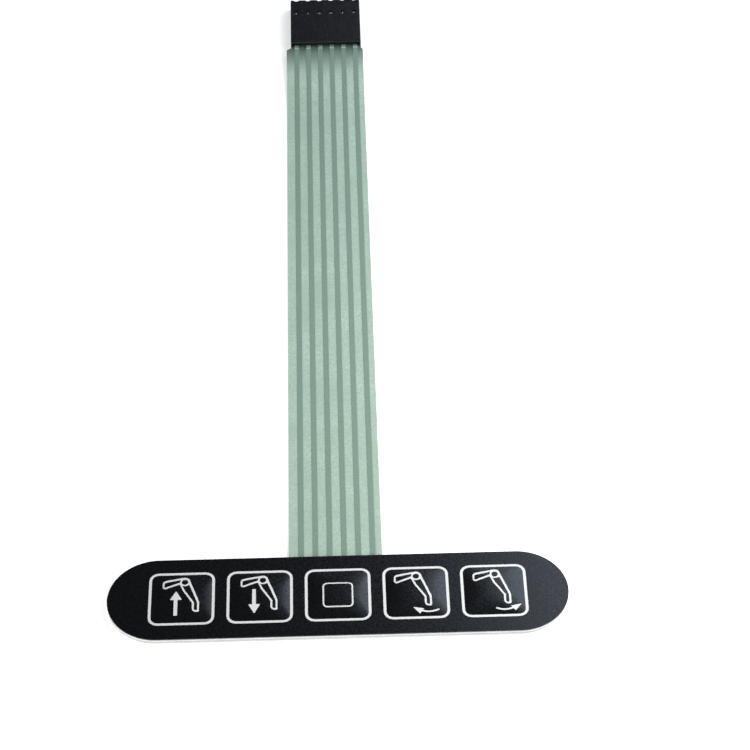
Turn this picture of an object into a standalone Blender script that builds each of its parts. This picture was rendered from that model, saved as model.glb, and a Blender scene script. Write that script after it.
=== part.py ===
"""Membrane keypad: five domed keys in a laminated switch panel, a flat film tail and a six-way crimp connector.

The keypad lies on its release liner with its keys facing up. X runs along the row of keys, Y along the
tail and Z up. The origin is the centre of the keypad outline on the back of the liner.
"""

import math

import bmesh
import bpy

MM = 0.001

# Keypad outline and layer thicknesses, from the back to the front
KEYPAD_LENGTH = 80.4 * MM
KEYPAD_WIDTH = 17.8 * MM
LINER_THICKNESS = 0.10 * MM
REAR_ADHESIVE_THICKNESS = 0.12 * MM
FILM_THICKNESS = 0.125 * MM
TRACK_THICKNESS = 0.02 * MM
RETAINER_ADHESIVE_THICKNESS = 0.05 * MM
RETAINER_THICKNESS = 0.25 * MM
OVERLAY_ADHESIVE_THICKNESS = 0.10 * MM
OVERLAY_THICKNESS = 0.20 * MM
PRINT_THICKNESS = 0.02 * MM
LAMINATION_GAP = 0.02 * MM

# Keys: embossed windows inside printed frames
KEY_COUNT = 5
KEY_END_MARGIN = 13.0 * MM
KEY_SIDE_MARGIN = 3.53 * MM
WINDOW_SPACING = 3.06 * MM
WINDOW_RADIUS = 1.22 * MM
FRAME_STROKE = 0.48 * MM
PILLOW_RISE = 0.45 * MM
PILLOW_POWER = 2.6

# Snap domes and the holes that hold them
DOME_INSET = 0.67 * MM
DOME_FLAT_DEPTH = 0.8 * MM
DOME_RISE = 0.55 * MM
DOME_SHEET = 0.08 * MM
DOME_CLEARANCE = 0.3 * MM
VENT_WIDTH = 1.0 * MM

# Printed circuit
RING_WIDTH = 0.8 * MM
RING_OPENING = 1.5 * MM
PAD_RADIUS = 1.4 * MM
TRACK_WIDTH = 0.5 * MM
CONDUCTOR_WIDTH = 1.0 * MM
TRACK_MARGIN = 0.65 * MM

# Tail
TAIL_LENGTH = 145.75 * MM
TAIL_MARGIN_LEFT = 2.2 * MM
TAIL_MARGIN_RIGHT = 1.65 * MM
TAIL_ROOT_RADIUS = 0.3 * MM
TAIL_SAG_RUN = 14.0 * MM
TAIL_RISE_RUN = 22.0 * MM
TAIL_TAPER = 1.0 * MM

# Connector housing
WAYS = 6
WAY_PITCH = 2.54 * MM
HOUSING_LENGTH = 15.2 * MM
HOUSING_HEIGHT = 2.54 * MM
HOUSING_EDGE = 0.15 * MM
CAVITY_WIDTH = 2.0 * MM
CAVITY_HEIGHT = 1.9 * MM
FRONT_WALL = 1.0 * MM
MOUTH_DEPTH = 1.2 * MM
MOUTH_SIDE_WALL = 0.3 * MM
NOTCH_WIDTH = 1.27 * MM
NOTCH_DEPTH = 0.5 * MM
PIN_ENTRY = 0.9 * MM
LATCH_WIDTH = 0.9 * MM
LATCH_LENGTH = 1.1 * MM
LATCH_SETBACK = 4.7 * MM

# Crimp contacts and the film fingers that they grip
CONTACT_SHEET = 0.15 * MM
CONTACT_CLEARANCE = 0.1 * MM
CONTACT_SEAM = 0.3 * MM
BOX_LENGTH = 6.0 * MM
NECK_LENGTH = 1.2 * MM
NECK_WIDTH = 0.9 * MM
CRIMP_LENGTH = 2.6 * MM
TAB_WIDTH = 0.95 * MM
TAB_REACH = 0.7 * MM
LANCE_RISE = 0.3 * MM
LANCE_LENGTH = 0.9 * MM
LANCE_WIDTH = 0.6 * MM
FINGER_WIDTH = 1.1 * MM
FINGER_GAP = 0.05 * MM

# Facets
END_STEPS = 24
CORNER_STEPS = 4
RING_STEPS = 20
TAIL_STEPS = 8
PILLOW_RINGS = (1.0, 0.93, 0.83, 0.68, 0.48, 0.25)
MESH_WELD = 0.001 * MM
SHARP_ANGLE = math.radians(35)
FLAT_ANGLE = math.radians(1)

# Places that follow from the sizes
LINER_BOTTOM = 0.0
REAR_ADHESIVE_BOTTOM = LINER_BOTTOM + LINER_THICKNESS + LAMINATION_GAP
FILM_BOTTOM = REAR_ADHESIVE_BOTTOM + REAR_ADHESIVE_THICKNESS + LAMINATION_GAP
TRACK_BOTTOM = FILM_BOTTOM + FILM_THICKNESS + LAMINATION_GAP
DOME_SEAT = TRACK_BOTTOM + TRACK_THICKNESS + LAMINATION_GAP
RETAINER_ADHESIVE_BOTTOM = DOME_SEAT
RETAINER_BOTTOM = RETAINER_ADHESIVE_BOTTOM + RETAINER_ADHESIVE_THICKNESS + LAMINATION_GAP
OVERLAY_ADHESIVE_BOTTOM = RETAINER_BOTTOM + RETAINER_THICKNESS + LAMINATION_GAP
OVERLAY_BOTTOM = OVERLAY_ADHESIVE_BOTTOM + OVERLAY_ADHESIVE_THICKNESS + LAMINATION_GAP
OVERLAY_TOP = OVERLAY_BOTTOM + OVERLAY_THICKNESS
PRINT_BOTTOM = OVERLAY_TOP + LAMINATION_GAP

KEYPAD_EDGE = KEYPAD_WIDTH / 2
KEY_PITCH = (KEYPAD_LENGTH - 2 * KEY_END_MARGIN) / (KEY_COUNT - 1)
WINDOW_WIDTH = KEY_PITCH - WINDOW_SPACING
WINDOW_HEIGHT = KEYPAD_WIDTH - 2 * KEY_SIDE_MARGIN
DOME_RADIUS = min(WINDOW_WIDTH, WINDOW_HEIGHT) / 2 - DOME_INSET
DOME_ACROSS_FLATS = 2 * (DOME_RADIUS - DOME_FLAT_DEPTH)
KEY_CENTRES = [(index - (KEY_COUNT - 1) / 2) * KEY_PITCH for index in range(KEY_COUNT)]
WAY_CENTRES = [(index - (WAYS - 1) / 2) * WAY_PITCH for index in range(WAYS)]
TAIL_LEFT = WAY_CENTRES[0] - TAIL_MARGIN_LEFT
TAIL_RIGHT = WAY_CENTRES[-1] + TAIL_MARGIN_RIGHT
RING_INNER = DOME_RADIUS - RING_WIDTH / 2
RING_OUTER = DOME_RADIUS + RING_WIDTH / 2

HOUSING_REAR = KEYPAD_EDGE + TAIL_LENGTH
HOUSING_FRONT = HOUSING_REAR + HOUSING_LENGTH
HOUSING_WIDTH = WAYS * WAY_PITCH
HOUSING_MID = HOUSING_HEIGHT / 2
CAVITY_REAR = HOUSING_REAR + MOUTH_DEPTH
CAVITY_FRONT = HOUSING_FRONT - NOTCH_DEPTH - FRONT_WALL
LATCH_CENTRE = HOUSING_FRONT - LATCH_SETBACK

BOX_HALF = CAVITY_WIDTH / 2 - CONTACT_CLEARANCE - CONTACT_SHEET / 2
BOX_TOP = HOUSING_MID + CAVITY_HEIGHT / 2 - CONTACT_CLEARANCE - CONTACT_SHEET / 2
BOX_FLOOR = HOUSING_MID - CAVITY_HEIGHT / 2 + CONTACT_CLEARANCE + CONTACT_SHEET / 2
BOX_FRONT = CAVITY_FRONT - CONTACT_CLEARANCE
BOX_REAR = BOX_FRONT - BOX_LENGTH
CRIMP_FRONT = BOX_REAR - NECK_LENGTH
CRIMP_REAR = CRIMP_FRONT - CRIMP_LENGTH
FINGER_TIP = CRIMP_FRONT + NECK_LENGTH / 4

FILM_ENTRY = HOUSING_MID - FILM_THICKNESS
PLATE_LEVEL = FILM_ENTRY + (DOME_SEAT - FILM_BOTTOM) + CONTACT_SHEET / 2
WING_LEVEL = FILM_ENTRY - LAMINATION_GAP - CONTACT_SHEET / 2
CRIMP_HALF = FINGER_WIDTH / 2 + FINGER_GAP + CONTACT_SHEET / 2


def linear(hex_colour):
    """Linear RGBA for an sRGB hex colour."""
    channels = [int(hex_colour[place:place + 2], 16) / 255 for place in (1, 3, 5)]
    return [c / 12.92 if c <= 0.04045 else ((c + 0.055) / 1.055) ** 2.4 for c in channels] + [1.0]


def new_material(name, hex_colour, roughness, metallic=0.0):
    material = bpy.data.materials.new(name)
    material.use_nodes = True
    shader = material.node_tree.nodes["Principled BSDF"]
    shader.inputs["Base Color"].default_value = linear(hex_colour)
    shader.inputs["Roughness"].default_value = roughness
    shader.inputs["Metallic"].default_value = metallic
    material.diffuse_color = linear(hex_colour)
    return material


def new_collection(name):
    collection = bpy.data.collections.new(name)
    bpy.context.scene.collection.children.link(collection)
    return collection


def arc(centre_x, centre_y, radius, start, end, steps):
    """Points along an arc, both ends included. Angles are in radians."""
    angles = [start + (end - start) * step / steps for step in range(steps + 1)]
    return [(centre_x + radius * math.cos(a), centre_y + radius * math.sin(a)) for a in angles]


def stadium(length, width):
    """A strip with round ends, counter-clockwise from its lower right."""
    radius = width / 2
    reach = length / 2 - radius
    right = arc(reach, 0, radius, -math.pi / 2, math.pi / 2, END_STEPS)
    left = arc(-reach, 0, radius, math.pi / 2, 3 * math.pi / 2, END_STEPS)
    return right + left


def rounded_rectangle(centre_x, half_width, half_height, radius):
    """Four corner arcs round a centre on the key row, with a point at the middle of each side."""
    points = []
    for turn, (side_x, side_y) in enumerate(((1, 1), (-1, 1), (-1, -1), (1, -1))):
        corner_x = centre_x + side_x * (half_width - radius)
        corner_y = side_y * (half_height - radius)
        start = turn * math.pi / 2
        points += arc(corner_x, corner_y, radius, start, start + math.pi / 2, CORNER_STEPS)
        middles = ((centre_x, half_height), (centre_x - half_width, 0),
                   (centre_x, -half_height), (centre_x + half_width, 0))
        points.append(middles[turn])
    return points


def ribbon_sides(path):
    """Left and right edges of a flat track along (x, y, half width) points, with mitred corners."""
    left, right = [], []
    for index, (x, y, half) in enumerate(path):
        before = path[max(index - 1, 0)]
        after = path[min(index + 1, len(path) - 1)]
        normals = []
        for (ax, ay, _), (bx, by, _) in ((before, path[index]), (path[index], after)):
            run = math.hypot(bx - ax, by - ay)
            if run > 0:
                normals.append(((ay - by) / run, (bx - ax) / run))
        first, last = normals[0], normals[-1]
        scale = half / (1 + first[0] * last[0] + first[1] * last[1])
        offset_x = (first[0] + last[0]) * scale
        offset_y = (first[1] + last[1]) * scale
        left.append((x + offset_x, y + offset_y))
        right.append((x - offset_x, y - offset_y))
    return left, right


def vent_chain(radius):
    """Round holes at the keys, joined by the breather channels between them."""
    notch = math.asin(VENT_WIDTH / 2 / radius)
    last = KEY_COUNT - 1
    points = []
    for index, centre in enumerate(KEY_CENTRES):
        start = math.pi if index == 0 else math.pi - notch
        end = 0 if index == last else notch
        points += arc(centre, 0, radius, start, end, RING_STEPS // 2)
    for index, centre in reversed(list(enumerate(KEY_CENTRES))):
        start = 0 if index == last else -notch
        end = -math.pi if index == 0 else notch - math.pi
        points += arc(centre, 0, radius, start, end, RING_STEPS // 2)
    return points


def as_mesh(source, collection):
    """The evaluated object as a welded mesh object of the same name, in place of its source."""
    bpy.context.view_layer.update()
    graph = bpy.context.evaluated_depsgraph_get()
    mesh = bpy.data.meshes.new_from_object(source.evaluated_get(graph))
    bm = bmesh.new()
    bm.from_mesh(mesh)
    bmesh.ops.remove_doubles(bm, verts=bm.verts, dist=MESH_WELD)
    bm.to_mesh(mesh)
    bm.free()
    mesh.shade_smooth()
    mesh.set_sharp_from_angle(angle=SHARP_ANGLE)
    name = source.name
    matrix = source.matrix_world.copy()
    bpy.data.objects.remove(source)
    mesh.name = name
    piece = bpy.data.objects.new(name, mesh)
    piece.matrix_world = matrix
    collection.objects.link(piece)
    return piece


def flat_shape(name, outlines, thickness, collection):
    """A 2D curve filled between its outer outline and its holes, with a flat section of this thickness."""
    curve = bpy.data.curves.new(name, "CURVE")
    curve.dimensions = "2D"
    curve.fill_mode = "BOTH"
    curve.extrude = thickness / 2
    for outline in outlines:
        spline = curve.splines.new("POLY")
        spline.points.add(len(outline) - 1)
        for point, (x, y) in zip(spline.points, outline):
            point.co = (x, y, 0, 1)
        spline.use_cyclic_u = True
    shape = bpy.data.objects.new(name, curve)
    collection.objects.link(shape)
    return shape


def flat_sheet(name, outlines, bottom, thickness, material, collection):
    """A die-cut or printed sheet: the first outline is its edge and the others are its holes."""
    shape = flat_shape(name, outlines, thickness, collection)
    shape.location.z = bottom + thickness / 2
    shape.data.materials.append(material)
    return as_mesh(shape, collection)


def smooth_step(value):
    share = min(max(value, 0.0), 1.0)
    return share * share * (3 - 2 * share)


def tail_lift(y):
    """Height of the tail at y against the film in the laminate: down to the table, then up to the connector."""
    sag = smooth_step((y - KEYPAD_EDGE) / TAIL_SAG_RUN)
    rise = smooth_step((y - HOUSING_REAR + TAIL_RISE_RUN) / TAIL_RISE_RUN)
    return -FILM_BOTTOM * sag + FILM_ENTRY * rise


def lay_along_tail(piece):
    """Cut a flat sheet across at even steps in the tail's bends, and lay it along the tail's height."""
    sag = [KEYPAD_EDGE + TAIL_SAG_RUN * step / TAIL_STEPS for step in range(TAIL_STEPS + 1)]
    rise = [HOUSING_REAR - TAIL_RISE_RUN * step / TAIL_STEPS for step in range(TAIL_STEPS + 1)]
    bm = bmesh.new()
    bm.from_mesh(piece.data)
    bmesh.ops.dissolve_limit(bm, angle_limit=FLAT_ANGLE, verts=bm.verts, edges=bm.edges)
    for station in sorted(sag + rise):
        geometry = bm.verts[:] + bm.edges[:] + bm.faces[:]
        bmesh.ops.bisect_plane(bm, geom=geometry, dist=MESH_WELD,
                               plane_co=(0, station, 0), plane_no=(0, 1, 0))
    for vert in bm.verts:
        vert.co.z += tail_lift(vert.co.y)
    bm.to_mesh(piece.data)
    bm.free()
    piece.data.shade_smooth()
    piece.data.set_sharp_from_angle(angle=SHARP_ANGLE)
    return piece


def film_outline():
    """The keypad outline with the tail out of its upper edge, tapered and slit into fingers at the end."""
    radius = KEYPAD_WIDTH / 2
    reach = KEYPAD_LENGTH / 2 - radius
    root = TAIL_ROOT_RADIUS
    tongue = HOUSING_WIDTH / 2 - MOUTH_SIDE_WALL - CONTACT_CLEARANCE
    taper_end = HOUSING_REAR - CONTACT_CLEARANCE
    finger_root = CAVITY_REAR - CONTACT_CLEARANCE
    half_pi = math.pi / 2
    points = arc(reach, 0, radius, -half_pi, half_pi, END_STEPS)
    points += arc(TAIL_RIGHT + root, KEYPAD_EDGE + root, root, -half_pi, -math.pi, CORNER_STEPS)
    points += [(TAIL_RIGHT, taper_end - TAIL_TAPER), (tongue, taper_end), (tongue, finger_root)]
    for centre in reversed(WAY_CENTRES):
        right = centre + FINGER_WIDTH / 2
        left = centre - FINGER_WIDTH / 2
        points += [(right, finger_root), (right, FINGER_TIP), (left, FINGER_TIP), (left, finger_root)]
    points += [(-tongue, finger_root), (-tongue, taper_end), (TAIL_LEFT, taper_end - TAIL_TAPER)]
    points += arc(TAIL_LEFT - root, KEYPAD_EDGE + root, root, 0, -half_pi, CORNER_STEPS)
    points += arc(-reach, 0, radius, half_pi, 3 * half_pi, END_STEPS)
    return points


def track_lanes():
    """Heights of the three lanes between the dome rings and the keypad's upper edge, low to high."""
    low = RING_OUTER + TRACK_MARGIN
    high = KEYPAD_EDGE - TRACK_MARGIN - TRACK_WIDTH / 2
    return [low, (low + high) / 2, high]


def conductor_path(way, lane):
    """One conductor from its finger down the tail, narrowed inside the keypad, down to its lane."""
    centre = WAY_CENTRES[way]
    wide = CONDUCTOR_WIDTH / 2
    narrow = TRACK_WIDTH / 2
    return [(centre, FINGER_TIP - FINGER_GAP, wide), (centre, KEYPAD_EDGE, wide),
            (centre, KEYPAD_EDGE - TRACK_MARGIN / 2, narrow), (centre, lane, narrow)]


def key_track_outline(way, key, lane):
    """A conductor that runs along its lane and ends in the round pad under its key."""
    half = TRACK_WIDTH / 2
    centre = KEY_CENTRES[key]
    path = conductor_path(way, lane) + [(centre, lane, half), (centre, PAD_RADIUS, half)]
    left, right = ribbon_sides(path)
    neck = math.acos(half / PAD_RADIUS)
    pad = arc(centre, 0, PAD_RADIUS, neck, -math.pi - neck, RING_STEPS)
    return left[:-1] + pad + right[:-1][::-1]


def contact_ring(centre, bus_top):
    """The open ring round a key's pad with its stub to the bus, entered at the stub's right edge."""
    stub = math.asin(TRACK_WIDTH / 2 / RING_OUTER)
    outer_gap = math.asin(RING_OPENING / 2 / RING_OUTER)
    inner_gap = math.asin(RING_OPENING / 2 / RING_INNER)
    down = -math.pi / 2
    top = math.pi / 2
    points = [(centre + TRACK_WIDTH / 2, bus_top)]
    points += arc(centre, 0, RING_OUTER, down + stub, top - outer_gap, RING_STEPS // 2)
    points += arc(centre, 0, RING_INNER, top - inner_gap, inner_gap - 3 * top, RING_STEPS)
    points += arc(centre, 0, RING_OUTER, top + outer_gap, 3 * top - stub, RING_STEPS // 2)
    points.append((centre - TRACK_WIDTH / 2, bus_top))
    return points


def common_track_outline(way, lane):
    """The common conductor: between the middle keys to the bus below them, which carries every ring."""
    half = TRACK_WIDTH / 2
    riser = KEY_CENTRES[KEY_COUNT // 2] + KEY_PITCH / 2
    bus_top = -RING_OUTER - TRACK_MARGIN
    path = conductor_path(way, lane) + [(riser, lane, half), (riser, bus_top, half)]
    left, right = ribbon_sides(path)
    points = list(right)
    for centre in reversed([place for place in KEY_CENTRES if place < riser]):
        points += contact_ring(centre, bus_top)
    points[-1] = (KEY_CENTRES[0] - half, bus_top)
    points += [(KEY_CENTRES[0] - half, bus_top - TRACK_WIDTH), (KEY_CENTRES[-1] + half, bus_top - TRACK_WIDTH)]
    for centre in reversed([place for place in KEY_CENTRES if place > riser]):
        points += contact_ring(centre, bus_top)
    return points + left[::-1]


def pillow_ring(centre, share):
    """One level line of a key's embossed pillow: its outline shrunk to a share, and rounder towards the middle."""
    half_width = WINDOW_WIDTH / 2 * share
    half_height = WINDOW_HEIGHT / 2 * share
    round_share = 1 - share * share
    radius = min(half_width, half_height) * round_share + WINDOW_RADIUS * share * (1 - round_share)
    return rounded_rectangle(centre, half_width, half_height, radius)


def pillow_height(share):
    return PILLOW_RISE * (1 - share ** PILLOW_POWER)


def add_pillow(bm, centre):
    """Rings of faces from the flat edge of a key's window up to the middle of its pillow."""
    rings = []
    for share in PILLOW_RINGS:
        height = pillow_height(share)
        rings.append([bm.verts.new((x, y, height)) for x, y in pillow_ring(centre, share)])
    count = len(rings[0])
    for outer, inner in zip(rings, rings[1:]):
        for index in range(count):
            after = (index + 1) % count
            bm.faces.new((outer[index], outer[after], inner[after], inner[index]))
    peak = bm.verts.new((centre, 0, PILLOW_RISE))
    for index in range(count):
        bm.faces.new((rings[-1][index], rings[-1][(index + 1) % count], peak))


def make_overlay(material, parts):
    """Textured polyester face film with a pillow embossed at each key."""
    windows = [pillow_ring(centre, 1.0) for centre in KEY_CENTRES]
    shape = flat_shape("graphic_overlay", [stadium(KEYPAD_LENGTH, KEYPAD_WIDTH)] + windows, 0, parts)
    shape.data.materials.append(material)
    overlay = as_mesh(shape, parts)
    bm = bmesh.new()
    bm.from_mesh(overlay.data)
    for centre in KEY_CENTRES:
        add_pillow(bm, centre)
    bmesh.ops.remove_doubles(bm, verts=bm.verts, dist=MESH_WELD)
    bmesh.ops.recalc_face_normals(bm, faces=bm.faces)
    if sum(face.normal.z for face in bm.faces) < 0:
        bmesh.ops.reverse_faces(bm, faces=bm.faces)
    bm.to_mesh(overlay.data)
    bm.free()
    overlay.data.shade_smooth()
    overlay.location.z = OVERLAY_TOP
    sheet = overlay.modifiers.new("sheet", "SOLIDIFY")
    sheet.thickness = OVERLAY_THICKNESS
    sheet.offset = -1
    return overlay


def make_key_frames(material, parts):
    """White printed frame round each key's window."""
    for number, centre in enumerate(KEY_CENTRES, 1):
        inner = rounded_rectangle(centre, WINDOW_WIDTH / 2, WINDOW_HEIGHT / 2, WINDOW_RADIUS)
        outer = rounded_rectangle(centre, WINDOW_WIDTH / 2 + FRAME_STROKE,
                                  WINDOW_HEIGHT / 2 + FRAME_STROKE, WINDOW_RADIUS + FRAME_STROKE)
        flat_sheet(f"key_frame_{number}", [outer, inner], PRINT_BOTTOM, PRINT_THICKNESS, material, parts)


def make_layers(materials, parts):
    """The die-cut adhesives, the dome retainer and the release liner."""
    outline = stadium(KEYPAD_LENGTH, KEYPAD_WIDTH)
    windows = [rounded_rectangle(centre, WINDOW_WIDTH / 2, WINDOW_HEIGHT / 2, WINDOW_RADIUS)
               for centre in KEY_CENTRES]
    hole = DOME_RADIUS + DOME_CLEARANCE
    flat_sheet("overlay_adhesive", [outline] + windows, OVERLAY_ADHESIVE_BOTTOM,
               OVERLAY_ADHESIVE_THICKNESS, materials["adhesive"], parts)
    flat_sheet("dome_retainer", [outline, vent_chain(hole)], RETAINER_BOTTOM,
               RETAINER_THICKNESS, materials["clear_film"], parts)
    flat_sheet("retainer_adhesive", [outline, vent_chain(hole)], RETAINER_ADHESIVE_BOTTOM,
               RETAINER_ADHESIVE_THICKNESS, materials["adhesive"], parts)
    flat_sheet("rear_adhesive", [outline], REAR_ADHESIVE_BOTTOM,
               REAR_ADHESIVE_THICKNESS, materials["adhesive"], parts)
    flat_sheet("release_liner", [outline], LINER_BOTTOM, LINER_THICKNESS, materials["liner"], parts)


def make_domes(material, parts, cutters):
    """Four-leg steel snap domes: a turned cap trimmed to four flats, one under each key."""
    steps = RING_STEPS // 3
    mesh = bpy.data.meshes.new("dome_profile")
    profile = [(DOME_RADIUS * step / steps, 0, DOME_RISE * (1 - (step / steps) ** 2)) for step in range(steps + 1)]
    mesh.from_pydata(profile, [(step, step + 1) for step in range(steps)], [])
    mesh.materials.append(material)
    dome = bpy.data.objects.new("snap_dome_1", mesh)
    parts.objects.link(dome)
    turn = dome.modifiers.new("turn", "SCREW")
    turn.steps = END_STEPS
    turn.render_steps = END_STEPS
    turn.use_merge_vertices = True
    turn.merge_threshold = MESH_WELD
    sheet = dome.modifiers.new("sheet", "SOLIDIFY")
    sheet.thickness = DOME_SHEET
    sheet.offset = 1
    trim_mesh = bpy.data.meshes.new("dome_trim")
    bm = bmesh.new()
    bmesh.ops.create_cube(bm, size=DOME_ACROSS_FLATS)
    bm.to_mesh(trim_mesh)
    bm.free()
    trim = bpy.data.objects.new("dome_trim", trim_mesh)
    add_cutter(trim, cutters)
    flats = dome.modifiers.new("flats", "BOOLEAN")
    flats.operation = "INTERSECT"
    flats.object = trim
    dome = as_mesh(dome, parts)
    lowest = min(vert.co.z for vert in dome.data.vertices)
    for number, centre in enumerate(KEY_CENTRES, 1):
        piece = dome if number == 1 else bpy.data.objects.new(f"snap_dome_{number}", dome.data)
        piece.location = (centre, 0, DOME_SEAT - lowest)
        if number > 1:
            parts.objects.link(piece)


def make_circuit(materials, parts):
    """The circuit film with its tail, and the conductors printed on it."""
    film = flat_sheet("circuit_film", [film_outline()], FILM_BOTTOM, FILM_THICKNESS, materials["film"], parts)
    lay_along_tail(film)
    low, middle, high = track_lanes()
    routes = ((0, 0, high), (1, 1, middle), (2, 2, low), (4, 3, middle), (5, 4, high))
    outlines = {f"key_track_{key + 1}": key_track_outline(way, key, lane) for way, key, lane in routes}
    outlines["common_track"] = common_track_outline(3, low)
    for name, outline in outlines.items():
        track = flat_sheet(name, [outline], TRACK_BOTTOM, TRACK_THICKNESS, materials["silver_ink"], parts)
        lay_along_tail(track)


def add_cutter(cutter, cutters):
    cutters.objects.link(cutter)
    cutter.display_type = "WIRE"
    cutter.hide_render = True
    return cutter


def add_box(bm, low, high):
    """A box between two corners."""
    size = [top - bottom for bottom, top in zip(low, high)]
    middle = [(top + bottom) / 2 for bottom, top in zip(low, high)]
    made = bmesh.ops.create_cube(bm, size=1)
    bmesh.ops.scale(bm, vec=size, verts=made["verts"])
    bmesh.ops.translate(bm, vec=middle, verts=made["verts"])


def box_cutter(name, boxes, cutters):
    """One cutter made of boxes that stand apart."""
    mesh = bpy.data.meshes.new(name)
    bm = bmesh.new()
    for low, high in boxes:
        add_box(bm, low, high)
    bm.to_mesh(mesh)
    bm.free()
    return add_cutter(bpy.data.objects.new(name, mesh), cutters)


def notch_cutter(cutters):
    """Round-bottomed notches in the front edge, one at each way."""
    mesh = bpy.data.meshes.new("front_notches")
    bm = bmesh.new()
    radius = NOTCH_WIDTH / 2
    for centre in WAY_CENTRES:
        made = bmesh.ops.create_cone(bm, cap_ends=True, segments=END_STEPS, radius1=radius, radius2=radius,
                                     depth=3 * HOUSING_HEIGHT)
        bmesh.ops.translate(bm, vec=(centre, HOUSING_FRONT - NOTCH_DEPTH + radius, HOUSING_MID),
                            verts=made["verts"])
    bm.to_mesh(mesh)
    bm.free()
    return add_cutter(bpy.data.objects.new("front_notches", mesh), cutters)


def make_housing(material, parts, cutters):
    """Moulded housing: cavities with latch windows, pin entries in the front wall and a shared rear mouth."""
    past = HOUSING_HEIGHT
    cavity_low = HOUSING_MID - CAVITY_HEIGHT / 2
    cavity_high = HOUSING_MID + CAVITY_HEIGHT / 2
    mouth_half = HOUSING_WIDTH / 2 - MOUTH_SIDE_WALL
    mesh = bpy.data.meshes.new("connector_housing")
    bm = bmesh.new()
    add_box(bm, (-HOUSING_WIDTH / 2, HOUSING_REAR, 0), (HOUSING_WIDTH / 2, HOUSING_FRONT, HOUSING_HEIGHT))
    bm.to_mesh(mesh)
    bm.free()
    mesh.materials.append(material)
    housing = bpy.data.objects.new("connector_housing", mesh)
    parts.objects.link(housing)
    edges = housing.modifiers.new("edges", "BEVEL")
    edges.width = HOUSING_EDGE
    edges.segments = 2
    mouth = box_cutter("rear_mouth", [((-mouth_half, HOUSING_REAR - past, cavity_low),
                                       (mouth_half, CAVITY_REAR, cavity_high))], cutters)
    cavities, entries, windows = [], [], []
    for centre in WAY_CENTRES:
        half = CAVITY_WIDTH / 2
        pin = PIN_ENTRY / 2
        latch = LATCH_WIDTH / 2
        cavities.append(((centre - half, HOUSING_REAR + MOUTH_DEPTH / 2, cavity_low),
                         (centre + half, CAVITY_FRONT, cavity_high)))
        entries.append(((centre - pin, CAVITY_FRONT - FRONT_WALL, HOUSING_MID - pin),
                        (centre + pin, HOUSING_FRONT + past, HOUSING_MID + pin)))
        windows.append(((centre - latch, LATCH_CENTRE - LATCH_LENGTH / 2, HOUSING_MID),
                        (centre + latch, LATCH_CENTRE + LATCH_LENGTH / 2, HOUSING_HEIGHT + past)))
    cuts = (mouth, box_cutter("contact_cavities", cavities, cutters), box_cutter("pin_entries", entries, cutters),
            box_cutter("latch_windows", windows, cutters), notch_cutter(cutters))
    for cutter in cuts:
        cut = housing.modifiers.new(cutter.name, "BOOLEAN")
        cut.operation = "DIFFERENCE"
        cut.object = cutter
    return housing


def contact_rows():
    """Rows of the contact's folded sheet from its tab to its box: y, which columns it has, and its section."""
    tab = (TAB_WIDTH / 2, PLATE_LEVEL, PLATE_LEVEL)
    crimp = (CRIMP_HALF, PLATE_LEVEL, WING_LEVEL)
    neck = (NECK_WIDTH / 2, PLATE_LEVEL, PLATE_LEVEL)
    box_start = (NECK_WIDTH / 2, BOX_TOP, BOX_FLOOR)
    box = (BOX_HALF, BOX_TOP, BOX_FLOOR)
    step = CRIMP_LENGTH / 8
    lance_rear = LATCH_CENTRE - LANCE_LENGTH / 2
    lance_tip = LATCH_CENTRE + LANCE_LENGTH / 4
    lance_front = LATCH_CENTRE + LANCE_LENGTH / 2
    return [
        (HOUSING_REAR - TAB_REACH, "strip", tab, 0),
        (CRIMP_REAR - step, "strip", tab, 0),
        (CRIMP_REAR, "wings", crimp, 0),
        (CRIMP_FRONT, "strip", crimp, 0),
        (CRIMP_FRONT + step, "strip", neck, 0),
        (BOX_REAR - step, "strip", box_start, 0),
        (BOX_REAR, "wings", box, 0),
        (lance_rear, "wings", box, 0),
        (lance_tip, "wings", box, LANCE_RISE),
        (lance_front, "wings", box, 0),
        (BOX_FRONT, "end", box, 0),
    ]


def contact_mesh(material):
    """One contact as a sheet folded round the film finger at the crimp and into a box at the front."""
    lance = LANCE_WIDTH / 2
    seam = CONTACT_SEAM / 2
    bm = bmesh.new()
    rows = []
    for y, _, (half, top, floor), rise in contact_rows():
        section = [(-seam, floor), (-half, floor), (-half, top), (-lance, top), (0, top + rise),
                   (lance, top), (half, top), (half, floor), (seam, floor)]
        rows.append([bm.verts.new((x, y, z)) for x, z in section])
    for index, (_, columns, _, _) in enumerate(contact_rows()[:-1]):
        first, last = (0, 8) if columns == "wings" else (2, 6)
        near, far = rows[index], rows[index + 1]
        for place in range(first, last):
            bm.faces.new((near[place], far[place], far[place + 1], near[place + 1]))
    loose = [vert for vert in bm.verts if not vert.link_faces]
    bmesh.ops.delete(bm, geom=loose, context="VERTS")
    mesh = bpy.data.meshes.new("crimp_contact")
    bm.to_mesh(mesh)
    bm.free()
    mesh.materials.append(material)
    return mesh


def make_contacts(material, parts):
    """Tin-plated crimp contacts, one in each cavity."""
    mesh = contact_mesh(material)
    for number, centre in enumerate(WAY_CENTRES, 1):
        contact = bpy.data.objects.new(f"crimp_contact_{number}", mesh)
        contact.location.x = centre
        parts.objects.link(contact)
        sheet = contact.modifiers.new("sheet", "SOLIDIFY")
        sheet.thickness = CONTACT_SHEET
        sheet.offset = 0
        sheet.use_even_offset = True


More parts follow.
